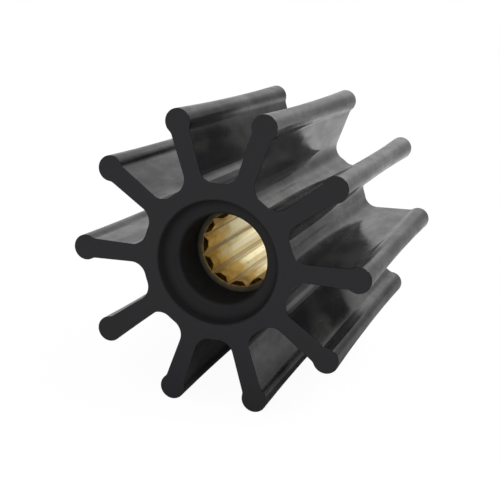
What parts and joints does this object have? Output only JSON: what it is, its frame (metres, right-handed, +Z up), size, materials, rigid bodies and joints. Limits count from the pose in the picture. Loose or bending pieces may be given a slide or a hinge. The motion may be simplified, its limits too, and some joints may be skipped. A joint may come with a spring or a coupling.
{
  "type": "rubber pump impeller",
  "caption": "Flexible rubber impeller for a raw-water pump, with straight bead-tipped vanes moulded round a splined brass insert.",
  "frame": {"origin": "centre of the wheel's box: on the shaft's axis, half way along the wheel", "axes": "+Y along the shaft's axis, from the front face to the back one; +Z up, as the wheel lies on two vanes"},
  "size_m": [0.095, 0.0954, 0.0908],
  "materials": {
    "rubber": "moulded black rubber, matt on the ends and satin on the vanes",
    "brass": "broached and bead blasted brass, slightly tarnished"
  },
  "bodies": {
    "root": {"rubber_wheel": "rubber", "splined_insert": "brass"}
  },
  "joints": []
}
